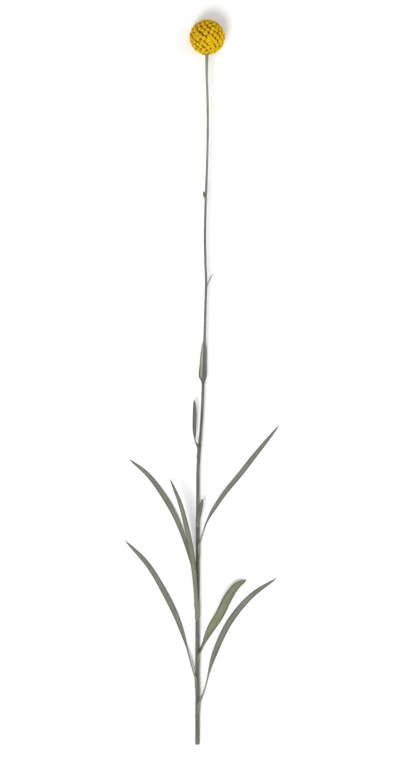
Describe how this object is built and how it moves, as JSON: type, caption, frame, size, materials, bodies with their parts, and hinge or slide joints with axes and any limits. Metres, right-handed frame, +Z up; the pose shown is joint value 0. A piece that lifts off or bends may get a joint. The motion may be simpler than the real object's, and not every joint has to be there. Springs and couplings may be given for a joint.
{
  "type": "billy buttons stem",
  "caption": "Cut billy buttons stem lying down: a round yellow flower head of beaded florets on a long thin felted stem with narrow grey-green leaves low down.",
  "frame": {"origin": "on the surface it lies on, under the middle of the whole stem's outline", "axes": "+Y along the stem from its cut end to the flower head, +Z up from the surface it lies on, +X to the right when looking down on it with the head at the top"},
  "size_m": [0.107, 0.4998, 0.0244],
  "materials": {
    "yellow_florets": "matt, dense golden yellow florets with orange-brown gaps between their beads",
    "stem_felt": "matt, fine white felt over a grey-green ribbed stem",
    "leaf_felt": "matt, felted grey-green leaf, paler at its base"
  },
  "bodies": {
    "root": {"stem": "stem_felt", "flower_head": "yellow_florets", "leaf_01_right": "leaf_felt", "leaf_02_left": "leaf_felt", "leaf_03_broad_right": "leaf_felt", "leaf_04_front": "leaf_felt", "leaf_05_left": "leaf_felt", "leaf_06_long_right": "leaf_felt", "leaf_07_short_front": "leaf_felt", "leaf_08_upper_left": "leaf_felt", "leaf_09_boat_behind": "leaf_felt"}
  },
  "joints": []
}
